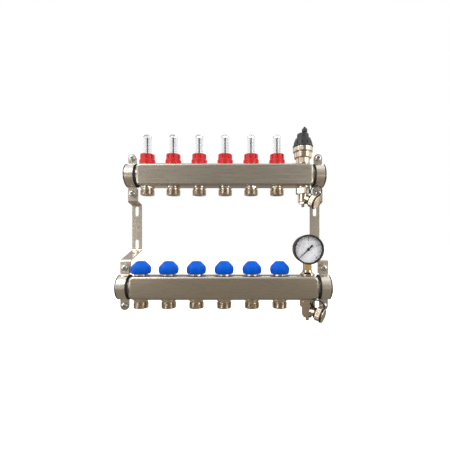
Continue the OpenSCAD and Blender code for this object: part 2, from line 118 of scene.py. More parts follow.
def outline(corners, radius=0.3, closed=None):
    """Points through corners (a, b) or (a, b, its own radius), each corner rounded.

    The line is closed unless it starts on the axis, a = 0, where its ends stay sharp."""
    if closed is None:
        closed = corners[0][0] != 0
    points = []
    for i, corner in enumerate(corners):
        here = np.array(corner[:2], float)
        wanted = corner[2] if len(corner) > 2 else radius
        if wanted == 0 or not closed and i in (0, len(corners) - 1):
            points.append(here)
            continue
        before = np.array(corners[i - 1][:2]) - here
        after = np.array(corners[(i + 1) % len(corners)][:2]) - here
        reach = min(wanted, 0.45 * np.linalg.norm(before), 0.45 * np.linalg.norm(after))
        a = here + before / np.linalg.norm(before) * reach
        b = here + after / np.linalg.norm(after) * reach
        steps = 2 if reach < 0.6 else 6
        for t in np.linspace(0, 1, steps + 1):
            points.append((1 - t) ** 2 * a + 2 * t * (1 - t) * here + t ** 2 * b)
    return np.array(points)


def stepped(line, low, high, step):
    """The same line with its stretches between heights low and high cut into short steps."""
    points = []
    for a, b in zip(line, np.roll(line, -1, 0)):
        inside = low <= min(a[1], b[1]) and max(a[1], b[1]) <= high and a[0] + b[0] > 0
        count = int(abs(b[1] - a[1]) / step) + 1 if inside else 1
        points += [a + (b - a) * k / count for k in range(count)]
    return np.array(points)


def lofted(rings, ring_shaped=False):
    """Closed shell through rings of equally many points, with flat ends, or joined end to end."""
    rings = np.asarray(rings, float)
    count, sides = rings.shape[:2]
    faces = []
    for i in range(count if ring_shaped else count - 1):
        a, b = i * sides, (i + 1) % count * sides
        faces += [(a + k, a + (k + 1) % sides, b + (k + 1) % sides, b + k) for k in range(sides)]
    if not ring_shaped:
        faces.append(tuple(range(sides))[::-1])
        faces.append(tuple(range((count - 1) * sides, count * sides)))
    return rings.reshape(-1, 3), faces


def turned(line, shape=None, sides=96, angles=None):
    """Closed shell of a line of (radius, z) points turned about Z.

    A line that starts on the axis is solid, another one is a ring. shape(r, z, angle) gives the
    radius that a point ends up with, which cuts flats, threads and slots."""
    line = np.asarray(line)
    solid = line[0][0] == 0
    if solid:
        line = line[1:-1]
    if angles is None:
        angles = np.arange(sides) * TAU / sides
    r, z, angle = (line[:, :1] + 0 * angles, line[:, 1:] + 0 * angles, 0 * line[:, :1] + angles)
    if shape:
        r = shape(r, z, angle)
    return lofted(np.stack([r * np.cos(angle), r * np.sin(angle), z], -1), ring_shaped=not solid)


def lathe(corners, shape=None, radius=0.3, fine=None, **sides):
    """turned() for an outline()'s corners; fine is stepped()'s low, high and step."""
    line = outline(corners, radius)
    return turned(stepped(line, *fine) if fine else line, shape, **sides)


def rod(radius, low, high, sides=96):
    return lathe([(0, low), (radius, low), (radius, high), (0, high)], radius=0, sides=sides)


def band(inner, outer, low, high, radius, sides=96):
    return lathe([(inner, low), (outer, low), (outer, high), (inner, high)], radius=radius, sides=sides)


def seal_groove(radius, side=TOP):
    """Corners of the O-ring's groove round a stub, under a flange that sits on a bar."""
    outer, deep = radius + 2.3, 1.75 * side
    return (radius, deep), (outer, deep), (outer, 0)


def oblong(x0, x1, y0, y1, radius):
    """Flat outline of a rectangle whose corners are arcs."""
    corners = np.array([(x0, y0), (x1, y0), (x1, y1), (x0, y1)])
    points = []
    for here, before, after in zip(corners, np.roll(corners, 1, 0), np.roll(corners, -1, 0)):
        before, after = np.sign(before - here), np.sign(after - here)
        centre = here + radius * (before + after)
        for a in np.linspace(0, math.pi / 2, 9):
            points.append(centre - radius * (after * math.cos(a) + before * math.sin(a)))
    return points


def prism(points, low, high):
    """Closed shell of a flat outline pulled up from low to high."""
    points = np.asarray(points)
    level = 0 * points[:, :1]
    return lofted([np.hstack([points, level + z]) for z in (low, high)])


def moved(shell, matrix):
    m = np.array(matrix)
    return shell[0] @ m[:3, :3].T + m[:3, 3], shell[1]


def joined(*shells):
    """One shell of several that don't touch."""
    faces, start = [], 0
    for points, own_faces in shells:
        faces += [tuple(k + start for k in face) for face in own_faces]
        start += len(points)
    return np.concatenate([points for points, _ in shells]), faces


def with_outward_faces(mesh):
    work = bmesh.new()
    work.from_mesh(mesh)
    bmesh.ops.remove_doubles(work, verts=work.verts, dist=1e-7)
    bmesh.ops.recalc_face_normals(work, faces=work.faces)
    work.to_mesh(mesh)
    work.free()


def new_object(name, data):
    obj = bpy.data.objects.new(name, data)
    bpy.context.scene.collection.objects.link(obj)
    return obj


def new_mesh(name, points, faces):
    mesh = bpy.data.meshes.new(name)
    mesh.from_pydata(points.tolist(), [], faces)
    with_outward_faces(mesh)
    return mesh


def plain_object(shell):
    return new_object("work", new_mesh("work", *shell))


def evaluated_shell(obj):
    mesh = obj.evaluated_get(bpy.context.evaluated_depsgraph_get()).to_mesh()
    return np.array([v.co for v in mesh.vertices]), [tuple(p.vertices) for p in mesh.polygons]


def carve(base, *tools, how="DIFFERENCE"):
    """The shell left when tools are taken from base, or merged with it when how is UNION."""
    made = [plain_object(shell) for shell in (base, *tools)]
    for tool in made[1:]:
        modifier = made[0].modifiers.new("carve", "BOOLEAN")
        modifier.operation, modifier.solver, modifier.object = how, "EXACT", tool
    shell = evaluated_shell(made[0])
    for obj in made:
        bpy.data.meshes.remove(obj.data)
    return shell


def reworked(shell, change):
    """The shell after change() has edited it as a bmesh."""
    obj = plain_object(shell)
    work = bmesh.new()
    work.from_mesh(obj.data)
    change(work)
    work.verts.index_update()
    shell = (np.array([v.co for v in work.verts]), [tuple(v.index for v in f.verts) for f in work.faces])
    work.free()
    bpy.data.meshes.remove(obj.data)
    return shell


def softened(shell, width, segments=2):
    """The shell with its sharp edges bevelled."""
    sharpest, flattest = math.radians(40), math.radians(1)

    def bevel(work):
        bmesh.ops.dissolve_limit(work, angle_limit=flattest, verts=work.verts, edges=work.edges)
        sharp = [e for e in work.edges if len(e.link_faces) == 2 and e.calc_face_angle() > sharpest]
        bmesh.ops.bevel(work, geom=sharp, offset=width, segments=segments, profile=0.5, affect="EDGES")
    return reworked(shell, bevel)


def bent(shell, line):
    """A flat strip that lies along X, bent so that its middle follows a line of (y, z) points."""
    steps = np.diff(line, axis=0)
    lengths = np.linalg.norm(steps, axis=1)
    along = np.concatenate([[0], np.cumsum(lengths)])
    headings = np.unwrap(np.arctan2(steps[:, 1], steps[:, 0]))
    longer = lengths[:-1] > 2 * lengths[1:]
    shorter = lengths[1:] > 2 * lengths[:-1]
    between = (headings[:-1] + headings[1:]) / 2
    inner = np.where(longer, headings[:-1], np.where(shorter, headings[1:], between))
    at_points = np.concatenate([headings[:1], inner, headings[-1:]])

    def cut_at_bends(work):
        for s in along[1:-1]:
            everything = work.verts[:] + work.edges[:] + work.faces[:]
            bmesh.ops.bisect_plane(work, geom=everything, plane_co=(s, 0, 0), plane_no=(1, 0, 0), dist=1e-4)
    flat, faces = reworked(shell, cut_at_bends)
    s, across, out = flat.T
    heading = np.interp(s, along, at_points)
    y = np.interp(s, along, line[:, 0]) - np.sin(heading) * out
    z = np.interp(s, along, line[:, 1]) + np.cos(heading) * out
    return np.stack([across, y, z], 1), faces


# ---- Radius functions for turned() ----

def within(z, low, high):
    return (z > low - 1e-6) & (z < high + 1e-6)


def off_centre(angle, count, start=0.0):
    """Angle from the nearest of count equal divisions."""
    return (angle - math.radians(start) + math.pi / count) % (TAU / count) - math.pi / count


def flats(count, across, low=-ALL, high=ALL, start=0):
    """Flat sides, a distance across apart, between two heights."""
    def shape(r, z, angle):
        limit = across / 2 / np.cos(off_centre(angle, count, start))
        return np.where(within(z, low, high), np.minimum(r, limit), r)
    return shape


def tooth(z, angle, pitch):
    """How far, from 0 to 1, a thread's flank is raised."""
    wave = np.abs((z / pitch - angle / TAU) % 1 * 2 - 1)
    return np.clip(1.35 * wave - 0.15, 0, 1)


def thread(crest, pitch, low, high, depth=None):
    """Outside thread between two heights."""
    def shape(r, z, angle):
        limit = crest - (depth or 0.6 * pitch) * (1 - tooth(z, angle, pitch))
        return np.where(within(z, low, high), np.minimum(r, limit), r)
    return shape


def inside_thread(crest, pitch, low, high):
    """Inside thread between two heights, cut outwards from the bore's radius, crest."""
    def shape(r, z, angle):
        limit = crest + 0.55 * pitch * tooth(z, angle, pitch)
        cut = within(z, low, high) & (r < crest + 0.05)
        return np.where(cut, np.maximum(r, limit), r)
    return shape


def slots(count, width, bottom, low, high, start=0):
    """Slots cut in to the radius bottom, between two heights."""
    def shape(r, z, angle):
        cut = (np.abs(off_centre(angle, count, start)) * bottom < width / 2) & within(z, low, high)
        return np.where(cut, np.minimum(r, bottom), r)
    return shape


def slot_angles(count, width, bottom, start=0, between=8):
    """Angles for turned() that fall just either side of each slot's walls."""
    half = width / 2 / bottom
    edges = [-1.04 * half, -0.96 * half, 0, 0.96 * half, 1.04 * half]
    rest = np.linspace(1.04 * half, TAU / count - 1.04 * half, between + 2)[1:-1]
    one = np.concatenate([edges, rest])
    return np.concatenate([one + math.radians(start) + TAU * k / count for k in range(count)])


def both(*shapes):
    def shape(r, z, angle):
        for each in shapes:
            r = each(r, z, angle)
        return r
    return shape


# ---- Materials ----

FINISHES = {}                # by material slot


class Nodes:
    """Short ways to add shader nodes to a tree."""

    def __init__(self, tree):
        self.tree = tree

    def node(self, kind, **values):
        made = self.tree.nodes.new("ShaderNode" + kind)
        for key, value in values.items():
            if key in made.inputs:
                made.inputs[key].default_value = value
            else:
                setattr(made, key, value)
        return made

    def link(self, source, target):
        self.tree.links.new(source, target)

    def math(self, operation, a, b=0.0):
        made = self.node("Math", operation=operation)
        for k, value in enumerate((a, b)):
            if isinstance(value, (int, float)):
                made.inputs[k].default_value = value
            else:
                self.link(value, made.inputs[k])
        return made.outputs[0]

    def axes(self, place):
        parts = self.node("SeparateXYZ")
        self.link(place, parts.inputs[0])
        return parts.outputs

    def levels(self, value, low, high, to_low=0.0, to_high=1.0):
        made = self.node("MapRange")
        for k, number in enumerate((low, high, to_low, to_high)):
            made.inputs[k + 1].default_value = number
        self.link(value, made.inputs[0])
        return made.outputs[0]

    def show(self, share, first, second):
        """Shows the first shader node where share is 0 and the second one where it is 1."""
        mix = self.node("MixShader")
        for source, target in zip((share, first.outputs[0], second.outputs[0]), mix.inputs):
            self.link(source, target)
        end = next(node for node in self.tree.nodes if node.type.startswith("OUTPUT"))
        self.link(mix.outputs[0], end.inputs["Surface"])


class Finish(Nodes):
    """One procedural material on a Principled shader; lengths in its patterns are millimetres."""

    def __init__(self, slot, colour, metallic=0.0, rough=0.4, **surface):
        self.material = FINISHES[slot] = bpy.data.materials.new(slot)
        self.material.use_nodes = True
        super().__init__(self.material.node_tree)
        self.surface = self.tree.nodes["Principled BSDF"]
        self.base, self.rough, self.heights = (*colour, 1.0), rough, None
        values = {"Base_Color": self.base, "Metallic": metallic, "Roughness": rough, **surface}
        for key, value in values.items():
            self.surface.inputs[key.replace("_", " ")].default_value = value
        chance = self.math("MULTIPLY", self.node("ObjectInfo").outputs["Random"], 400.0)
        scaled = self.node("VectorMath", operation="SCALE", Scale=1 / MM)
        self.link(self.node("TexCoord").outputs["Object"], scaled.inputs[0])
        shifted = self.node("VectorMath", operation="ADD")
        self.link(scaled.outputs[0], shifted.inputs[0])
        self.link(chance, shifted.inputs[1])
        self.place, self.shifted = scaled.outputs[0], shifted.outputs[0]

    def noise(self, size, stretch=(1, 1, 1), detail=3.0, rough=0.55, place=None):
        """Noise from 0 to 1 with features about size long, times stretch on each axis."""
        scaled = self.node("Mapping", vector_type="POINT")
        scaled.inputs["Scale"].default_value = [1 / size / s for s in stretch]
        self.link(place or self.shifted, scaled.inputs["Vector"])
        made = self.node("TexNoise", Scale=1.0, Detail=detail, Roughness=rough)
        self.link(scaled.outputs[0], made.inputs["Vector"])
        return made.outputs["Fac"]

    def rings(self):
        """Place whose pattern runs round the Z axis, as a lathe leaves it."""
        x, y, z = self.axes(self.place)
        square = self.math("ADD", self.math("MULTIPLY", x, x), self.math("MULTIPLY", y, y))
        made = self.node("CombineXYZ")
        for k, value in enumerate((self.math("SQRT", square), self.math("ARCTAN2", y, x), z)):
            self.link(value, made.inputs[k])
        return made.outputs[0]

    def tint(self, share, colour):
        """Mixes colour over what the base is so far."""
        made = self.node("Mix", data_type="RGBA")
        socket = self.surface.inputs["Base Color"]
        if socket.is_linked:
            self.link(socket.links[0].from_socket, made.inputs[6])
        else:
            made.inputs[6].default_value = self.base
        made.inputs[7].default_value = (*colour, 1.0)
        self.link(share, made.inputs[0])
        self.link(made.outputs[2], socket)
        return self

    def shade(self, pattern, low, high, share, colour):
        """Mixes in colour, up to share, as a pattern rises from low to high."""
        return self.tint(self.levels(pattern, low, high, 0.0, share), colour)

    def roughen(self, value, amount):
        """Adds value, less its middle 0.5, times amount to the roughness."""
        socket = self.surface.inputs["Roughness"]
        now = socket.links[0].from_socket if socket.is_linked else self.rough
        shifted = self.math("ADD", self.math("MULTIPLY", self.math("SUBTRACT", value, 0.5), amount), now)
        self.link(self.math("MAXIMUM", shifted, 0.03), socket)
        return self

    def emboss(self, value, height):
        """Raises the surface by value times height."""
        grown = self.math("MULTIPLY", value, height)
        self.heights = self.math("ADD", self.heights, grown) if self.heights else grown
        return self

    def edges(self, colour, share=0.5):
        """Lightens convex edges where handling wears them."""
        convex = self.levels(self.node("NewGeometry").outputs["Pointiness"], 0.505, 0.56)
        worn = self.math("MULTIPLY", convex, self.levels(self.noise(2.5), 0.35, 0.65))
        return self.tint(self.math("MULTIPLY", worn, share), colour)

    # Painted shade: every concave hollow is darkened by the same share.
    def grime(self, colour):
        """Darkens hollows with painted shade."""
        hollow = self.levels(self.node("NewGeometry").outputs["Pointiness"], 0.495, 0.44)
        return self.tint(self.math("MULTIPLY", hollow, 0.6), colour)

    def done(self):
        """Turns the heights gathered by emboss() into bumps."""
        bump = self.node("Bump", Distance=MM)
        self.link(self.heights, bump.inputs["Height"])
        self.link(bump.outputs[0], self.surface.inputs["Normal"])


def brushed_bar():
    """Stainless sheet brushed along X, with faint broad shades from rolling."""
    made = Finish("bar_steel", (0.50, 0.465, 0.40), 1.0, 0.30, Anisotropic=0.55)
    broad = made.noise(14, (6, 1, 1), 2.0)
    streak = made.noise(1.1, (60, 1, 1), 4.0)
    fine = made.noise(0.22, (90, 1, 1), 3.0)
    made.shade(broad, 0.3, 0.75, 0.5, (0.60, 0.53, 0.43))
    made.shade(streak, 0.35, 0.8, 0.4, (0.36, 0.33, 0.28))
    made.shade(fine, 0.5, 0.8, 0.35, (0.74, 0.70, 0.62))
    made.roughen(streak, 0.22).roughen(fine, 0.18)
    made.emboss(streak, 0.006).emboss(fine, 0.008)
    along = made.node("CombineXYZ", X=1.0)
    made.link(along.outputs[0], made.surface.inputs["Tangent"])
    made.done()


def rolled_strip():
    """Bright rolled steel strip with fine lines along it, small scuffs, worn edges and painted shade in its
    hollows.
    """
    made = Finish("strip_steel", (0.68, 0.635, 0.56), 1.0, 0.27)
    lines = made.noise(0.5, (1, 1, 40), 3.0)
    scuffs = made.noise(3.0, (1, 2, 1), 5.0, 0.7)
    made.shade(lines, 0.4, 0.8, 0.4, (0.42, 0.39, 0.34))
    made.shade(scuffs, 0.58, 0.75, 0.4, (0.72, 0.69, 0.63))
    made.roughen(lines, 0.15).roughen(scuffs, 0.25)
    made.emboss(lines, 0.006).emboss(scuffs, 0.012)
    # The last call darkens the strip's hollows with painted shade.
    made.edges((0.80, 0.77, 0.72)).grime((0.18, 0.16, 0.13)).done()


def plated(slot, colour, rough, dark, bright):
    """Turned and plated metal: fine tool rings under the plating, blotches, worn edges, painted shade in
    hollows.
    """
    made = Finish(slot, colour, 1.0, rough)
    rings = made.noise(0.35, (1, 30, 1), 2.0, place=made.rings())
    blotches = made.noise(4.0, detail=4.0)
    peel = made.noise(0.8, detail=2.0)
    made.shade(blotches, 0.35, 0.75, 0.4, dark)
    made.shade(rings, 0.5, 0.8, 0.3, bright)
    made.roughen(blotches, 0.14).roughen(rings, 0.10)
    made.emboss(rings, 0.006).emboss(peel, 0.010)
    # The last call paints shade into the hollows, darker than the blotches.
    made.edges(bright).grime(tuple(0.4 * k for k in dark)).done()


def moulded(slot, colour, rough, grain=0.012, dust=0.12, **surface):
    """Moulded plastic: mould grain, faint flow shades, scuffed edges, a little dust."""
    made = Finish(slot, colour, 0.0, rough, **surface)
    shades = made.noise(7.0, (1, 1, 2), 3.0)
    spark = made.noise(0.35, detail=2.0)
    scuffs = made.noise(1.6, (1, 3, 1), 5.0, 0.7)
    light = tuple(min(1.0, 1.25 * k + 0.02) for k in colour)
    made.shade(shades, 0.35, 0.7, 0.5, tuple(0.78 * k for k in colour))
    made.shade(scuffs, 0.6, 0.78, dust, (0.65, 0.62, 0.58))
    made.roughen(shades, 0.12).roughen(scuffs, 0.25)
    made.emboss(spark, grain).emboss(scuffs, 0.006)
    made.edges(light, 0.6).done()


def rubbery(slot, rough):
    """Black rubber with a dull bloom and fine pores."""
    made = Finish(slot, (0.018, 0.018, 0.019), 0.0, rough, Specular_IOR_Level=0.35)
    bloom = made.noise(5.0, detail=5.0, rough=0.65)
    pores = made.noise(0.3, detail=2.0)
    made.shade(bloom, 0.5, 0.8, 0.35, (0.07, 0.068, 0.065))
    made.roughen(bloom, 0.3)
    made.emboss(pores, 0.02).emboss(bloom, 0.02).done()


def clear(slot, colour, ior, rough):
    """Clear moulding with flow ripples and hair scratches; lamps shine through it."""
    made = Finish(slot, colour, 0.0, rough, Transmission_Weight=1.0, IOR=ior)
    ripple = made.noise(6.0, (1, 1, 3), 2.0)
    scratch = made.noise(0.25, (1, 1, 30), 3.0)
    made.shade(ripple, 0.4, 0.7, 0.3, tuple(0.93 * k for k in colour))
    made.roughen(made.levels(scratch, 0.6, 0.8), 0.06)
    made.emboss(ripple, 0.02).done()
    through = made.node("BsdfTransparent", Color=(0.93, 0.95, 0.95, 1.0))
    made.show(made.node("LightPath").outputs["Is Shadow Ray"], made.surface, through)


def enamel(slot, colour, rough):
    """Paint on metal: orange peel, slight shading and a few specks."""
    made = Finish(slot, colour, 0.0, rough, Specular_IOR_Level=0.3)
    peel = made.noise(1.2, detail=2.0)
    shades = made.noise(12.0, detail=3.0)
    specks = made.noise(0.5, detail=1.0)
    made.shade(shades, 0.35, 0.7, 0.6, tuple(0.88 * k for k in colour))
    made.shade(specks, 0.72, 0.8, 0.3, tuple(0.6 * k + 0.1 for k in colour))
    made.roughen(peel, 0.2).roughen(shades, 0.1)
    made.emboss(peel, 0.006).done()


brushed_bar()
rolled_strip()
plated("fastener_steel", (0.62, 0.60, 0.58), 0.22, (0.40, 0.39, 0.38), (0.80, 0.79, 0.77))
plated("nickel_brass", (0.68, 0.60, 0.49), 0.16, (0.45, 0.37, 0.27), (0.86, 0.80, 0.70))
plated("raw_brass", (0.93, 0.75, 0.37), 0.26, (0.72, 0.54, 0.23), (0.98, 0.88, 0.60))
plated("pin_steel", (0.58, 0.58, 0.58), 0.20, (0.36, 0.36, 0.37), (0.78, 0.78, 0.79))
plated("spring_wire", (0.16, 0.16, 0.17), 0.34, (0.08, 0.08, 0.09), (0.30, 0.30, 0.31))
moulded("red_plastic", (0.66, 0.012, 0.020), 0.38, dust=0.03, Specular_IOR_Level=0.35)
moulded("blue_plastic", (0.0, 0.115, 0.72), 0.45, dust=0.0, Specular_IOR_Level=0.12)
moulded("black_plastic", (0.028, 0.029, 0.034), 0.46, grain=0.03, dust=0.15)
moulded("float_black", (0.012, 0.012, 0.014), 0.4, dust=0.02)
moulded("float_plastic", (0.72, 0.72, 0.69), 0.4)
clear("clear_tube", (0.885, 0.90, 0.895), 1.44, 0.03)
clear("clear_window", (0.98, 0.99, 0.99), 1.12, 0.02)
rubbery("liner_rubber", 0.62)
rubbery("seal_rubber", 0.5)
rubbery("strap_rubber", 0.45)
enamel("gauge_black", (0.02, 0.02, 0.022), 0.28)
enamel("dial_white", (0.76, 0.745, 0.79), 0.5)
enamel("pointer_black", (0.015, 0.015, 0.016), 0.35)


# ---- Pieces ----

RECORD = frame["record"]
BODY_OF = {node: body for body, nodes in RECORD["behaviour"]["bodies"].items() for node in nodes}
SLOT_OF = {part["node"]: part["material_slot"] for part in RECORD["subparts"]}
CREASE = math.radians(35)    # sharper edges stay sharp in the shading


def mesh_of(name, shell):
    """Mesh in metres from a shell."""
    mesh = new_mesh(name, shell[0] * MM, shell[1])
    mesh.shade_smooth()
    mesh.set_sharp_from_angle(angle=CREASE)
    return mesh


def piece(name, mesh, place, node, slot=None):
    """Places a mesh or shell that stands for a CAD node: it takes its body and slot."""
    slot = slot or SLOT_OF[node]
    if isinstance(mesh, tuple):
        mesh = mesh_of(name, mesh)
    if not mesh.materials:
        mesh.materials.append(FINISHES[slot])
    obj = new_object(name, mesh)
    place = place.copy()
    place.translation *= MM
    obj.matrix_world = place
    flat = obj.modifiers.new("even shading", "WEIGHTED_NORMAL")
    flat.keep_sharp = True
    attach(obj, BODY_OF[node])
    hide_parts(node)
    return obj


def per_circuit(name, shell, bar_name, node, side=TOP, spin=0, slot=None):
    """One piece at every circuit's port, each turned by spin more; {} in node is the circuit."""
    mesh = mesh_of(name, shell)
    return [piece(f"{name}_{i}", mesh, port(bar_name, x, side) @ turn("Z", spin * i), node.format(i), slot)
            for i, x in zip(CIRCUITS, PORTS)]


def squeezed(springs):
    """Gives each of the springs a mesh of its own."""
    for i, x, spring in zip(CIRCUITS, PORTS, springs):
        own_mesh(spring)


# ---- Bars ----

def bar_shell(inset):
    """The bar's outside, or its hollow when inset is the sheet's thickness: a box whose ends round off."""
    face_r, plan_r, edge_r = 12 - inset, 7 - inset, 5 - inset
    half = BAR_END - inset
    ends = [half - face_r * (1 - math.sin(math.radians(a))) for a in range(0, 91, 9)]
    corner = np.radians(np.arange(0, 91, 15))

    def pulled_in(past, radius):
        return radius - math.sqrt(max(radius ** 2 - past ** 2, 0)) if past > 0 else 0
    rings = []
    for x in [-x for x in reversed(ends)] + ends:
        high = BAR_H / 2 - inset - pulled_in(abs(x) - (half - face_r), face_r)
        deep = BAR_D / 2 - inset - pulled_in(abs(x) - (half - plan_r), plan_r)
        ring = []
        for k, (side_y, side_z) in enumerate([(1, 1), (-1, 1), (-1, -1), (1, -1)]):
            for a in corner + k * TAU / 4:
                ring.append((x, side_y * (deep - edge_r) + edge_r * math.cos(a),
                             side_z * (high - edge_r) + edge_r * math.sin(a)))
        rings.append(ring)
    return lofted(rings)


def bar(top_hole):
    """A hollow bar with its threaded necks and port holes; top_hole is the radius of the circuit holes."""
    wall, neck_r, neck_end, thread_r, service_hole = 1.5, 17.75, BAR_END + 22, 15.15, 10
    ends = turn("Y", 90), turn("Y", -90)
    neck = lathe([(0, BAR_END - 15), (neck_r, BAR_END - 15), (neck_r, neck_end, 0.5), (0, neck_end)])
    solid = carve(bar_shell(0), *(moved(neck, end) for end in ends), how="UNION")
    depth = neck_end - 16
    bore = outline([
        (0, 0), (14, 0), (14, depth), (thread_r, depth), (thread_r, neck_end - 0.8),
        (16.4, neck_end + 0.1), (16.4, neck_end + 1), (0, neck_end + 1)
    ], 0)
    helix = inside_thread(thread_r, 2.309, depth + 1, neck_end - 1)
    bore = turned(stepped(bore, depth, neck_end - 0.8, 0.3), helix, 64)
    holes = []
    for x in PORTS + [SERVICE]:
        above = service_hole if x == SERVICE else top_hole
        pair = rod(above, 12, 30, 64), rod(service_hole, -30, -12, 64)
        holes += [moved(hole, at(x, 0, 0)) for hole in pair]
    return carve(solid, bar_shell(wall), *(moved(bore, end) for end in ends), joined(*holes))


def build_bars():
    piece("supply_bar_shell", bar(11.02), bar_axis("supply"), "supply_bar")
    piece("return_bar_shell", bar(9.02), bar_axis("return"), "return_bar")


# ---- Outlets ----

def outlet():
    """Outlet below a bar: stub, hexagon collar, groove, threaded end with an open cone."""
    crest, low, high = 13.22, -15.7, -6.6
    shape = both(flats(6, 25.6, -3.4, -0.2), thread(crest, 1.814, low, high, 1.0))
    return lathe([
        (7, 7.8), (9.2, 7.8), (10, 7), *seal_groove(10, FOOT), (13.5, 0), (13.5, -2.6),
        (12.9, -3.3), (11.5, -3.6, 0.6), (11.5, -6, 0.6), (12.4, -6.1), (crest, -6.9), (crest, -15.5),
        (12.2, -16.5), (10.3, -16.5), (9, -14.5), (9, -9), (7, -7)
    ], shape, fine=(low, high, 0.23))


def build_outlets():
    for bar_name, spin in (("supply", 11), ("return", 17)):
        per_circuit(f"{bar_name}_outlet", outlet(), bar_name, "outlet_nipples", FOOT, spin)


# ---- Flow meters ----

GLASS_R, GLASS_TOP, GLASS_FOOT = 7.4, 58.6, 7.45


def meter_body():
    """Brass body: sleeve with four windows, flange, neck with the dial's groove, cup for the glass."""
    window = moved(rod(4.5, -12, 12, 48), turn("X", 90))
    low = at(0, 0, -15)
    return carve(lathe([
        (7, SEAT_Z + 0.2), (9, SEAT_Z + 0.2), (9, -5), (11, -5), *seal_groove(11),
        (13.9, 0), (13.9, 2.6), (9.5, 2.6), (9.5, 4), (9, 4), (9, 6), (9.5, 6), (9.5, 17), (7.42, 17),
        (7.42, 7.4), (1, 7.4), (1, 5), (7, 5)
    ], radius=0.15), moved(window, low), moved(window, low @ turn("Z", 90)))


def glass():
    """Clear tube with a domed top."""
    dome_h = 4
    ball_r = (GLASS_R ** 2 + dome_h ** 2) / (2 * dome_h)
    widest = math.asin(GLASS_R / ball_r)
    dome = [(ball_r * math.sin(a), GLASS_TOP - ball_r + ball_r * math.cos(a), 0)
            for a in np.linspace(widest, 0.1, 9)]
    return lathe([(0, 55), (5, 55, 1.6), (5, GLASS_FOOT), (GLASS_R, GLASS_FOOT), *dome, (0, GLASS_TOP)])


def scale_marks():
    """Printed scale: short marks on the glass, every fourth one longer."""
    foot, pitch, start, tall = 25, 2.8, -math.pi / 2 + 0.38, 0.3
    low_r, high_r = GLASS_R - 0.01, GLASS_R + 0.05
    section = (low_r, 0), (high_r, 0), (high_r, tall), (low_r, tall)
    marks = []
    for k in range(9):
        z, reach = foot + pitch * k, 0.84 if k % 4 == 0 else 0.48
        marks.append(lofted([[(r * math.cos(a), r * math.sin(a), z + h) for r, h in section]
                             for a in np.linspace(start, start + reach, 8)]))
    return joined(*marks)


def dial():
    """Red dial: flared skirt, slotted grip, hollow inside with a snap rib."""
    skirt_r, grip_r, top, slot_r = 15.1, 13.4, 19.6, 12.1
    count, width = 8, 1.3
    return lathe([
        (14, 0.7), (skirt_r, 0.7), (skirt_r - 0.2, 8.9, 0.5), (grip_r, 9.8, 0.4), (grip_r, 10.5),
        (grip_r, 10.7), (grip_r, top, 0.4), (11.4, top, 0.2), (11, top - 0.6, 0.2),
        (8.6, top - 0.6, 0.2), (8.2, top, 0.2), (7.5, top), (7.5, 17.1), (9.55, 17.1), (9.55, 5.95),
        (9.05, 5.95), (9.05, 4.05), (9.55, 4.05), (9.55, 2.65), (14, 2.65)
    ], slots(count, width, slot_r, 10.6, ALL), angles=slot_angles(count, width, slot_r))


def float_rod():
    """Float plate low in the sleeve and the rod that is read against the scale."""
    return lathe([
        (0, -28), (6.2, -28), (6.2, -26.5), (1.6, -26.3), (0.9, -24.5, 0.8), (0.9, 53), (0, 53)
    ], radius=0.2, sides=32)


def float_guide():
    """Four-fingered guide that keeps the rod in the middle of the glass."""
    def fingers(r, z, angle):
        return np.where(np.abs(off_centre(angle, 4)) < 0.22, r, np.minimum(r, 2.2))
    return lathe([(0.95, 51.2), (4.6, 51.2, 0.5), (4.6, 52.8, 0.5), (0.95, 52.8)], fingers)


def coil(mean_r, wire_r, low, high, turns):
    """Coil spring with closed end turns."""
    steps, sides = 26, 10
    rise = high - low - 2 * wire_r
    end = 2.1 * wire_r
    t = np.arange(turns * steps + 1) / steps
    z = low + wire_r + np.interp(t, [0, 1, turns - 1, turns], [0, end, rise - end, rise])
    around = np.arange(sides) * TAU / sides
    r = mean_r + wire_r * np.cos(around)
    angle = (TAU * t)[:, None]
    lean = rise / turns / (TAU * mean_r)
    side = -wire_r * np.sin(around) * lean
    x = r * np.cos(angle) - side * np.sin(angle)
    y = r * np.sin(angle) + side * np.cos(angle)
    return lofted(np.stack([x, y, z[:, None] + wire_r * np.sin(around)], -1))


def build_flow_meters():
    top = GLASS_TOP - 6.65
    per_circuit("meter_body", meter_body(), "supply", "flow_meter_bodies")
    per_circuit("sight_glass", glass(), "supply", "sight_glasses")
    per_circuit("glass_scale", scale_marks(), "supply", "sight_glasses", slot="pointer_black")
    per_circuit("red_dial", dial(), "supply", "flow_dial_{}", spin=7)
    per_circuit("float_rod", float_rod(), "supply", "flow_float_{}")
    per_circuit("float_guide", float_guide(), "supply", "flow_float_{}", slot="float_plastic")
    spring = coil(1.75, 0.32, GLASS_FOOT, top, 19)
    springs = per_circuit("float_spring", spring, "supply", "float_springs")
    squeezed(springs)


# ---- Hand valves ----

def insert():
    """Plated valve insert: stub, twelve-sided collar, cap thread."""
    crest = 14.95
    return lathe([
        (1.55, -14), (7.5, -14), (7.5, -6), (9, -6), *seal_groove(9), (12, 0),
        (12, 3), (11.6, 3.4), (14.1, 3.5), (crest, 4.3), (crest, 11.2), (14.2, 12), (5.02, 12),
        (5.02, -12), (1.55, -12)
    ], both(flats(12, 23.4, 0.1, 3.3), thread(crest, 1.5, 4, 11.4)), radius=0.2, fine=(4, 11.5, 0.2))


def gland():
    """Brass gland with a small hexagon."""
    return lathe([
        (1.55, 6), (5, 6), (5, 12.2), (5.2, 12.5), (5.2, 14.1), (4.8, 14.5), (1.55, 14.5)
    ], flats(6, 9, 12.3, ALL), radius=0.15, sides=48)


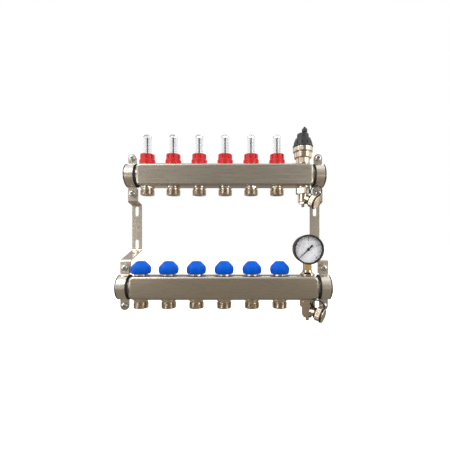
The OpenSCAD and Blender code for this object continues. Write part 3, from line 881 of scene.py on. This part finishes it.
def cap():
    """Blue cap: eight soft sides that close to a flat top, hollow below with the cap thread."""
    widest, bore_r, ceiling = 18, 15.05, 17.65
    line = outline([
        (0, ceiling), (7, ceiling), (7, 14.9), (bore_r, 14.9), (bore_r, 3), (16.1, 3, 0.4),
        (17.3, 5.2, 1.5), (widest, 8.6, 3), (widest, 12.6, 3), (16.5, 16.8, 3), (8.6, 24.7, 1.2),
        (6.8, 25.5, 0.6), (4.6, 25.5, 0.2), (4.3, 25.2, 0.2), (0, 25.2)
    ])

    def eight_sided(r, z, angle):
        power, flat = 34, 0.955
        side = flat / np.cos(off_centre(angle, 8))
        soft = (1 + side ** -power) ** (-1 / power)
        outer = (r > bore_r + 0.1) | (z > ceiling + 0.1)
        fade = np.clip((r - 4.8) / 1.2, 0, 1)
        return np.where(outer, r * (1 - fade * (1 - soft)), r)
    inner = stepped(line, 4, 12, 0.25)
    return turned(inner, both(inside_thread(bore_r, 1.5, 4.2, 11.8), eight_sided), sides=128)


def build_valves():
    low, high = -11.98, 1.98
    per_circuit("valve_insert", insert(), "return", "valve_inserts")
    per_circuit("valve_gland", gland(), "return", "valve_glands")
    per_circuit("blue_cap", cap(), "return", "return_cap_{}")
    spring = coil(3.6, 0.5, low, high, 5)
    springs = per_circuit("valve_spring", spring, "return", "valve_springs")
    squeezed(springs)


# ---- Clamps and brackets ----

BOLT_R, BOLT_HOLE = 34, 3.2  # the clamp screws' distance from a bar's axis, and their holes' radius


def flat_strip(length, width, thick, holes, end_r):
    """Strip along X from 0 to length, with rounded ends and (middle, half length, radius) slots."""
    def slot_line(x, half, r):
        arc = np.linspace(-math.pi / 2, math.pi / 2, 17)
        right = [(x + half + r * math.cos(a), r * math.sin(a)) for a in arc]
        return right + [(2 * x - a, -b) for a, b in right]
    blank = prism(oblong(0, length, -width / 2, width / 2, end_r), -thick / 2, thick / 2)
    return softened(carve(blank, joined(*(prism(slot_line(*hole), -thick, thick) for hole in holes))), 0.28)


def clamp_half():
    """Rear half of a clamp: a strip bent round the liner with a round-ended ear above and below."""
    thick, mean_r, ear_y, ear_r = 1.5, 21.25, 0.8, 8
    end = BOLT_R + ear_r
    arc = [(mean_r * math.sin(a), -mean_r * math.cos(a), 0) for a in np.radians(np.arange(15, 166, 5))]
    joint = math.sqrt(mean_r ** 2 - ear_y ** 2)
    line = outline([(ear_y, -end), (ear_y, -joint, 2), *arc, (ear_y, joint, 2), (ear_y, end)], closed=False)
    length = np.linalg.norm(np.diff(line, axis=0), axis=1).sum()
    holes = [(ear_r, 0, BOLT_HOLE), (length - ear_r, 0, BOLT_HOLE)]
    return bent(flat_strip(length, 2 * ear_r, thick, holes, ear_r - 0.05), line)


def liner():
    """Rubber liner with a lip on each side of the band."""
    inner, outer, lip = 17.77, 20.45, 22.4
    return moved(lathe([
        (inner, -9.8), (lip, -9.8, 0.7), (lip, -8.1, 0.5), (outer, -8.1), (outer, 8.1), (lip, 8.1, 0.5),
        (lip, 9.8, 0.7), (inner, 9.8)
    ], radius=0.2), turn("Y", 90))


def screw(end):
    """Pan head screw along Z with a cross recess; the head's seat is at z = -1.57."""
    seat, arm, half = -1.57, 3.1, 0.62
    face = seat - 3.98
    body = lathe([
        (0, face), (3.4, face + 0.1, 1.5), (5.6, face + 1.3, 1.2), (6, seat - 0.6), (6, seat),
        (3, seat), (3, end - 0.6), (2.5, end), (0, end)
    ], thread(3, 1.0, seat + 2, end, 0.55), radius=0.2, fine=(seat + 2, end - 0.5, 0.17), sides=64)
    quarter = np.array([(half, half), (half, arm), (-half, arm)])
    turns = (1, 0), (0, 1), (-1, 0), (0, -1)
    cross = np.concatenate([quarter @ np.array([(x, y), (-y, x)]) for x, y in turns])
    levels = (1, face - 1), (0.55, face + 2.3)
    return carve(body, lofted([np.hstack([cross * grow, np.full((12, 1), z)]) for grow, z in levels]))


def nut(low):
    """Hexagon nut with chamfered corners."""
    high = low + 5
    return lathe([
        (3.05, low + 0.4), (3.5, low), (5.1, low), (5.77, low + 0.5), (5.77, high - 0.5), (5.1, high),
        (3.5, high), (3.05, high - 0.4)
    ], flats(6, 9.9), radius=0.12)


STRIP_THICK, STRIP_WIDE = 2.5, 19.5
SLOPE_TOP, SLOPE_FOOT = RETURN_Z + 63.5, RETURN_Z + 47.4


def bracket_line():
    """The strip's middle line in side view, from the supply bar's ear down to the return bar's."""
    ear_shift, reach, web = 2.85, 24, -STRIP_THICK / 2
    back, front = SUPPLY_Y + ear_shift, RETURN_Y + ear_shift
    return outline([
        (back, SUPPLY_Z - reach - 0.1), (back, SUPPLY_Z - 49, 3), (web, SUPPLY_Z - 53, 3),
        (web, SLOPE_TOP, 3.5), (front, SLOPE_FOOT, 3.5), (front, RETURN_Z + reach + 0.1)
    ], closed=False)


def bracket():
    """Strip with two wall slots, a round hole on the lower slope and a bolt hole in each ear."""
    line = bracket_line()
    along = np.concatenate([[0], np.cumsum(np.linalg.norm(np.diff(line, axis=0), axis=1))])
    slot_half, slot_r, slope_hole, ear_r = 6, 3.5, 4.25, 10
    hole_z = SLOPE_TOP + 0.38 * (SLOPE_FOOT - SLOPE_TOP)
    upper, lower, slope = (float(np.interp(-z, -line[:, 1], along)) for z in (38, -28, hole_z))
    holes = [(upper, slot_half, slot_r), (lower, slot_half, slot_r), (slope, 0, slope_hole),
             (ear_r, 0, BOLT_HOLE), (along[-1] - ear_r, 0, BOLT_HOLE)]
    return bent(flat_strip(along[-1], STRIP_WIDE, STRIP_THICK, holes, 1.6), line)


def build_hangers():
    half, sleeve, strip = (mesh_of(name, shell) for name, shell in
                           (("clamp_half", clamp_half()), ("liner", liner()), ("bracket", bracket())))
    fasteners = {"outer": (mesh_of("screw_short", screw(8.05)), mesh_of("nut_outer", nut(1.57))),
                 "inner": (mesh_of("screw_long", screw(10.6)), mesh_of("nut_inner", nut(4.12)))}
    for side, x in (("left", -BAR_END - 10), ("right", BAR_END + 10)):
        piece(f"bracket_{side}", strip, at(x, 0, 0), "wall_brackets")
        for bar_name, inward in (("supply", -1), ("return", 1)):
            place, key = bar_axis(bar_name) @ at(x, 0, 0), f"{bar_name}_{side}"
            piece(f"clamp_rear_{key}", half, place, "clamp_halves")
            piece(f"clamp_front_{key}", half, place @ turn("Z", 180), "clamp_halves")
            piece(f"clamp_liner_{key}", sleeve, place, "clamp_liners")
            for end, (bolt, hexagon) in fasteners.items():
                up = inward if end == "inner" else -inward
                spot = place @ at(0, 0, BOLT_R * up) @ turn("X", -90)
                spun = spot @ turn("Z", 31 * up + x)
                piece(f"clamp_screw_{key}_{end}", bolt, spun, "clamp_bolts")
                piece(f"clamp_nut_{key}_{end}", hexagon, spot @ turn("Z", 9), "clamp_nuts")


# ---- Automatic air vent ----

VENT_OFF = 3.3               # the nozzle's distance from the vent's axis


def vent_body():
    """Plated body: flange, octagon, round middle, wide octagon ring, open cup inside."""
    return lathe([
        (5, -6), (10, -6), *seal_groove(10), (13.5, 0), (13.5, 2.4), (12.9, 3),
        (13.2, 3.3), (13.2, 12.1), (13, 12.6), (15.7, 12.7), (16.5, 13.5), (16.5, 22.6, 0.5),
        (15.9, 23.2), (15.9, 23.8), (17.6, 24), (19, 25.2), (19, 32.4), (18, 33.7), (14.02, 33.7),
        (14.02, 27), (12.5, 27), (12.5, 12.8), (5, 12.8)
    ], both(flats(8, 25, 3.1, 12.3, 22.5), flats(8, 36.6, 23.9, ALL, 22.5)))


def vent_cover():
    """Black cover: skirt, notched dome, flat hub with the nozzle, lever lugs inside."""
    notches, notch, notch_r, start, pivot_x = 12, 1.8, 16.2, 15, -8
    dome = lathe([
        (0, 47), (12.2, 47), (12.2, 27.2), (14, 27.2), (14, 33.75), (19.4, 33.75, 0.5), (19.4, 36, 0.6),
        (18.6, 36.6), (18.4, 37.4), (18.3, 37.6), (17, 44, 0.8), (16.4, 44.6), (14.6, 50.3, 0.7),
        (11.4, 50.6, 0.6), (11, 59.4, 0.9), (9.4, 60, 0.4), (0, 60)
    ], slots(notches, notch, notch_r, 37.5, 49, start), angles=slot_angles(notches, notch, notch_r, start, 7))
    nozzle = lathe([(0, 44.2), (2.2, 44.2), (2.2, 52), (2.5, 53), (2.5, 66, 0.5), (0, 66)])
    lugs = [moved(prism(oblong(-2, 2, 0, 1.6, 0.4), 40.5, 47.5), at(pivot_x, y, 0)) for y in (-4.8, 3.2)]
    whole = carve(dome, moved(nozzle, at(VENT_OFF, 0, 0)), *lugs, how="UNION")
    bore = moved(rod(1, 43, 70, 32), at(VENT_OFF, 0, 0))
    return carve(whole, bore, moved(rod(1.05, -6, 6, 32), at(pivot_x, 0, 42.75) @ turn("X", 90)))


def vent_cap():
    """Small pointed screw cap with a fluted grip."""
    def flutes(r, z, angle):
        return np.where((r > 4.3) & within(z, 63, 70), r - 0.35 * (0.5 + 0.5 * np.cos(10 * angle)) ** 2, r)
    return lathe([
        (0, 66.1), (2.55, 66.1), (2.55, 60.05), (4.2, 60.05), (4.2, 61.2), (3.4, 62), (3.4, 62.8),
        (5.2, 63.6, 0.4), (5.2, 69, 0.5), (4, 70.6), (2.4, 71.2), (2, 73.8, 0.6), (0, 73.8)
    ], flutes, radius=0.2, sides=120)


def build_vent():
    place = port("supply", SERVICE)
    piece("vent_housing", vent_body(), place, "vent_body")
    piece("vent_dome", vent_cover(), place, "vent_cover")
    piece("vent_screw_cap", vent_cap(), place @ at(VENT_OFF, 0, 0), "vent_cap")


# ---- Pressure gauge ----

GAUGE_Z = middle("gauge_bezel")[2]
DEPTH = -RETURN_Y            # gauge pieces count from the wall forwards, about the return bar's axis
DIAL_R, DIAL_TOP, FULL_SCALE = 23.9, DEPTH + 7.3, 4
ZERO, SWEEP = 225, 270       # the dial's zero and the sweep to full scale, in degrees


def gauge_case():
    """Flat-backed cup with an opening below for the socket."""
    back, rim, half = DEPTH - 11, DEPTH + 11, 7.1
    return carve(lathe([
        (0, back), (22, back, 1), (23, back, 0.5), (25.2, back, 2), (25.2, rim), (24, rim),
        (24, back + 1.2, 1), (0, back + 1.2)
    ]), prism(oblong(-half, half, -40, -22, 0.5), DEPTH - half, DEPTH + half))


def gauge_bezel():
    rim = DEPTH + 16
    return lathe([
        (25.22, rim - 7), (26.5, rim - 7, 0.5), (26.5, rim - 1.6, 1.2), (25.4, rim, 0.6),
        (24.4, rim, 0.4), (23.5, rim - 2.4, 0.4), (23.3, rim - 2.9), (25.22, rim - 2.9)
    ], radius=0.15, sides=128)


def gauge_window():
    low = DEPTH + 11.02
    return lathe([(0, low), (25.2, low), (25.2, low + 1.9, 0.4), (18, low + 2.03, 3), (0, low + 2.06)])


def tick(angle, inner, outer, width):
    """Raised mark on the dial along a radius."""
    shell = prism([(inner, -width / 2), (outer, -width / 2), (outer, width / 2), (inner, width / 2)],
                  DIAL_TOP + 0.005, DIAL_TOP + 0.06)
    return moved(shell, turn("Z", angle))


def dial_ticks():
    """Main scale with tenths and a coarser inner scale."""
    marks = []
    parts = 10 * FULL_SCALE
    for k in range(parts + 1):
        inner, width = (18.4, 1.0) if k % 10 == 0 else (19.6, 0.7) if k % 5 == 0 else (20.8, 0.4)
        marks.append(tick(ZERO - SWEEP * k / parts, inner, 22.4, width))
    for k in range(13):
        marks.append(tick(ZERO - SWEEP * k / 12, 11.2, 12.4, 0.3))
    return joined(*marks)


def numeral(text, size, radius, angle):
    """Upright number on the dial at a radius and angle."""
    curve = bpy.data.curves.new("numeral", "FONT")
    curve.body, curve.size, curve.extrude, curve.resolution_u = text, size, 0.025, 3
    curve.align_x, curve.align_y = "CENTER", "CENTER"
    shell = evaluated_shell(new_object("numeral", curve))
    bpy.data.curves.remove(curve)
    a = math.radians(angle)
    return moved(shell, at(radius * math.cos(a), radius * math.sin(a), DIAL_TOP + 0.03))


def dial_numbers():
    outer = [numeral(str(k), 4.6, 15.8, ZERO - SWEEP * k / FULL_SCALE) for k in range(FULL_SCALE + 1)]
    inner = [numeral(str(15 * k), 2.0, 9.4, ZERO - SWEEP * k / 4) for k in range(1, 5)]
    return joined(*outer, *inner)


def pointer():
    """Tapered hand with a broad tail, its hub cap, and the shaft down to the pinion."""
    low = DIAL_TOP + 1.9
    hand = prism([
        (-10.5, -1.9), (-2.5, -1.3), (0, -1.2), (18.3, -0.5), (19.2, 0), (18.3, 0.5), (0, 1.2),
        (-2.5, 1.3), (-10.5, 1.9)
    ], low, low + 0.5)
    hand = moved(softened(hand, 0.1, 1), turn("Z", ZERO))
    hub = lathe([
        (0, DEPTH - 4.4), (0.9, DEPTH - 4.4), (0.9, low - 0.3), (2.6, low - 0.3, 0.3),
        (2.6, low + 0.8, 0.5), (0, low + 0.8)
    ], radius=0.15, sides=48)
    return carve(hub, hand, how="UNION")


def pinion():
    """Small brass gear on the pointer's shaft."""
    def teeth(r, z, angle):
        wave = np.clip(0.5 + 1.1 * np.cos(8 * (angle - math.radians(-7.5))), 0, 1)
        return np.where(r > 1, 1.12 + (r - 1.12) * wave, r)
    low = DEPTH - 2.4
    return lathe([(0.9, low), (1.86, low), (1.86, DEPTH), (0.9, DEPTH)], teeth, radius=0.1)


def gauge_socket():
    """Brass square with a threaded shank below and the block that carries the movement above."""
    square = lathe([
        (2, 2.8), (5.9, 2.8), (6.5, 3.4), (6.5, 10), (8.6, 10.03), (9.5, 10.8), (9.5, 22.1),
        (8.8, 22.8), (2, 22.8)
    ], both(thread(6.5, 1.337, 3.2, 9.4), flats(4, 13.98, 10.01, ALL)), fine=(3.4, 9.8, 0.25))
    return carve(square, prism(oblong(-5, 5, -1.7, 3.2, 0.4), 21.8, 34.8), how="UNION")


def gauge_adapter():
    """Plated adapter: six-sided foot whose shoulders slope in to the neck."""
    return lathe([
        (4, -6), (10, -6), *seal_groove(10), (13.5, 0), (13.5, 2.4, 0.5),
        (9.8, 5.5, 0.8), (9, 6.2), (9, 9.5), (8.6, 10), (6.52, 10), (6.52, 2.5), (4, 2.5)
    ], flats(6, 25.4, 0.1, 4.5, 30))


def build_gauge():
    place, foot = at(SERVICE, 0, GAUGE_Z) @ turn("X", 90), port("return", SERVICE)
    piece("gauge_shell", gauge_case(), place, "gauge_case")
    piece("gauge_rim", gauge_bezel(), place, "gauge_bezel")
    piece("gauge_window", gauge_window(), place, "gauge_lens")
    piece("gauge_face", band(1.3, DIAL_R, DIAL_TOP - 0.8, DIAL_TOP, 0.2), place, "gauge_dial")
    piece("gauge_ticks", dial_ticks(), place, "gauge_dial", slot="pointer_black")
    piece("gauge_numbers", dial_numbers(), place, "gauge_dial", slot="pointer_black")
    piece("gauge_hand", pointer(), place, "gauge_pointer")
    piece("gauge_pinion", pinion(), place, "gauge_pointer", slot="raw_brass")
    piece("gauge_stem", gauge_socket(), foot, "gauge_socket")
    piece("gauge_foot", gauge_adapter(), foot, "gauge_adapter")


# ---- Drain valves ----

DRAIN_TURN, DRAIN_Z = 34, -20
TILTS = {"supply": 25, "return": 14}
STRAP_ROLLS = {"supply": 0, "return": 25}


def outlet_frame(key):
    """Frame of a drain's side outlet: Z along the outlet, X up."""
    tilt = math.radians(TILTS[key])
    up, out = math.sin(tilt), math.cos(tilt)
    axes = Matrix(((up, 0, out, 0), (0, -1, 0, 0), (out, 0, -up, 0), (0, 0, 0, 1)))
    return at(0, 0, DRAIN_Z) @ turn("Z", -DRAIN_TURN) @ axes


def drain_body(key):
    """Plated valve: flange, hexagon, round body with its side outlet, small hexagon below."""
    trunk = lathe([
        (0, 6), (10, 6), *seal_groove(10, FOOT), (13.5, 0), (13.5, -2.3), (12.6, -3),
        (12.6, -3.3), (14.1, -3.8), (14.1, -13.2), (13, -14), (10.4, -14.1), (9.6, -14.8), (9.6, -18),
        (9.6, -29, 0.4), (8.8, -30), (8, -30.1), (8, -32.6), (7.6, -33), (0, -33)
    ], both(flats(6, 24.6, -14.05, -3.1), flats(6, 13.8, -ALL, -30.05)))
    crest = 10.48
    side = outline([
        (0, 0), (7.6, 0), (7.6, 17.8), (9.6, 17.8), (crest, 18.7), (crest, 25.6), (9.6, 26.4),
        (0, 26.4)
    ])
    branch = turned(stepped(side, 18.6, 25.7, 0.25), thread(crest, 1.814, 18.4, 25.8, 0.9))
    whole = carve(trunk, moved(branch, outlet_frame(key)), how="UNION")
    bore = lathe([(0, 10), (5, 10), (5, -27.05), (3.25, -27.05), (3.25, -40), (0, -40)], radius=0, sides=48)
    return carve(whole, bore, moved(rod(4.5, 0, 30, 48), outlet_frame(key)))


def drain_spindle():
    """Spindle with its head inside the valve and a square end for the key."""
    return lathe([
        (0, -25.2), (4.7, -25.2), (4.7, -27), (3.2, -27), (3.2, -33.4), (3.38, -33.6), (3.38, -38.6),
        (2.9, -39), (0, -39)
    ], flats(4, 5, -ALL, -33.5), radius=0.15)


def drain_cap():
    """Screw cap with a knurled grip, a groove for the strap and a dished end."""
    def knurl(r, z, angle):
        grip = within(z, 18.3, 26) & (r > 12)
        return np.where(grip, r - 0.45 * (0.5 + 0.5 * np.cos(36 * angle)) ** 2, r)
    return lathe([
        (0, 26.8), (10.53, 26.8), (10.53, 17.4), (11.6, 17.4), (12.4, 18.2), (12.4, 26.1), (12.0, 26.8),
        (11.2, 26.8), (11.2, 29.2), (12.0, 29.2), (12.4, 29.5), (12.4, 30.2), (11.8, 30.8),
        (9.6, 30.8, 0.4), (9, 30.2, 0.4), (3.4, 30.2, 0.4), (2.8, 30.7, 0.4), (0, 30.7)
    ], knurl, radius=0.2, sides=288)


def drain_strap(key):
    """Rubber strap: a ring round the outlet's neck, a loop, and a ring in the cap's groove."""
    loop_r, centre, start, end = 10.5, np.array([19.5, 0, 19.5]), 197, 488
    section = oblong(-0.9, 0.9, -1.2, 1.2, 0.5)
    rings = []
    for a in np.radians(np.arange(start, end + 1, 5)):
        out = np.array([math.cos(a), 0, math.sin(a)])
        rings.append([centre + out * (loop_r + p) + np.array([0, q, 0]) for p, q in section])
    loop = moved(lofted(rings), turn("Z", STRAP_ROLLS[key]))
    eyes = band(7.62, 9.8, 14.7, 17.1, 0.4, 64), band(11.25, 13.4, 27.1, 28.9, 0.4, 64)
    return carve(loop, *eyes, how="UNION")


def build_drains():
    spindle = mesh_of("drain_spindle", drain_spindle())
    for key in TILTS:
        place = port(key, SERVICE, FOOT)
        cap, strap = (moved(shell, outlet_frame(key)) for shell in (drain_cap(), drain_strap(key)))
        piece(f"drain_valve_{key}", drain_body(key), place, "drain_bodies")
        piece(f"drain_key_{key}", spindle, place, f"drain_spindle_{key}")
        piece(f"drain_screw_cap_{key}", cap, place, f"drain_cap_{key}")
        piece(f"drain_strap_{key}", strap, place, "drain_straps")


# ---- CAD nodes that stay ----

def finish_cad_nodes():
    """Gives each carried-over CAD node the finish of its slot in the record."""
    for node, slot in SLOT_OF.items():
        materials = frame["nodes"][node].data.materials
        materials.clear()
        materials.append(FINISHES[slot])


# ---- Stage ----

def build_floor():
    """Plain pale floor; the object mirrors it as dim and warm, brighter to the sides."""
    half, z = 6.0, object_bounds()[0].z - 0.02
    mesh = bpy.data.meshes.new("floor")
    corners = (-half, -half, z), (half, -half, z), (half, half, z), (-half, half, z)
    mesh.from_pydata(corners, [], [(0, 1, 2, 3)])
    pale = Finish("floor", (0.93, 0.93, 0.93), rough=0.9, Emission_Color=(1, 1, 1, 1), Emission_Strength=0.45)
    off_middle = pale.math("ABSOLUTE", pale.axes(pale.node("TexCoord").outputs["Object"])[0])
    dim = pale.node("Emission", Color=(0.30, 0.26, 0.21, 1))
    pale.link(pale.levels(off_middle, 0.42, 0.85, 1.0, 3.2), dim.inputs["Strength"])
    pale.show(pale.node("LightPath").outputs["Is Camera Ray"], dim, pale.surface)
    mesh.materials.append(pale.material)
    new_object("floor", mesh)


def build_world():
    """White to the camera; to the object bright sides and ceiling and a dim warm front and back."""
    world = bpy.data.worlds.new("studio")
    bpy.context.scene.world = world
    world.use_nodes = True
    made = Nodes(world.node_tree)
    x, _, z = made.axes(made.node("TexCoord").outputs["Generated"])

    def ramp(source, stops):
        ramp_node = made.node("ValToRGB")
        ramp_node.color_ramp.interpolation = "EASE"
        elements = ramp_node.color_ramp.elements
        elements = [elements[0], elements[1]] + [elements.new(0.5) for _ in stops[2:]]
        for element, (place, value) in zip(elements, stops):
            element.position, element.color = place, (*value, 1)
        made.link(source, ramp_node.inputs[0])
        return ramp_node.outputs[0]
    lit, shaded = (1.0, 0.97, 0.92), (0.25, 0.23, 0.20)
    sides = ramp(made.math("ABSOLUTE", x), [(0.0, (0.21, 0.195, 0.17)), (1.0, lit),
                                            (0.40, shaded), (0.56, lit)])
    ceiling = ramp(made.levels(z, -1, 1), [(0.0, (0.12, 0.10, 0.08)), (1.0, (0.6, 0.6, 0.58)),
                                           (0.62, (0.04, 0.04, 0.04)), (0.85, (0.32, 0.31, 0.29))])
    total = made.node("Mix", data_type="RGBA", blend_type="ADD")
    total.inputs[0].default_value = 1.0
    made.link(sides, total.inputs[6])
    made.link(ceiling, total.inputs[7])
    studio, white = made.node("Background"), made.node("Background", Color=(1, 1, 1, 1))
    made.link(total.outputs[2], studio.inputs["Color"])
    path = made.node("LightPath").outputs
    made.show(made.math("MAXIMUM", path["Is Camera Ray"], path["Is Transmission Ray"]), studio, white)


def lamp(name, spot, aim, size, power):
    light = bpy.data.lights.new(name, "AREA")
    light.shape, light.size, light.size_y, light.energy = "RECTANGLE", size[0], size[1], power
    obj = new_object(name, light)
    obj.location = spot
    obj.rotation_euler = (Vector(aim) - Vector(spot)).to_track_quat("-Z", "Y").to_euler()


def build_lamps():
    centre = (0, -0.04, 0)
    lamp("key", (-0.7, -0.8, 0.9), centre, (0.6, 0.6), 5)
    lamp("fill", (0.9, -0.7, 0.2), centre, (0.3, 0.9), 3)
    lamp("rim", (-0.9, -0.8, -0.1), centre, (0.3, 0.9), 3)
    lamp("back", (0.2, 0.9, 0.8), centre, (0.9, 0.4), 4)


def build_camera():
    """Camera straight in front, a little right of the middle, with a shifted lens."""
    data = bpy.data.cameras.new("camera")
    data.lens, data.sensor_width = 22.14, 36
    data.shift_x, data.shift_y = -1 / 30, 1 / 30
    data.clip_start = 0.01
    camera = bpy.context.scene.camera = new_object("camera", data)
    camera.location = (0.0286, -0.5595, -0.0195)
    camera.rotation_euler = (math.pi / 2, 0, 0)


build_bars()
build_outlets()
build_flow_meters()
build_valves()
build_hangers()
build_vent()
build_gauge()
build_drains()
finish_cad_nodes()
build_floor()
build_world()
build_lamps()
build_camera()
bpy.context.scene.view_settings.view_transform = "Standard"
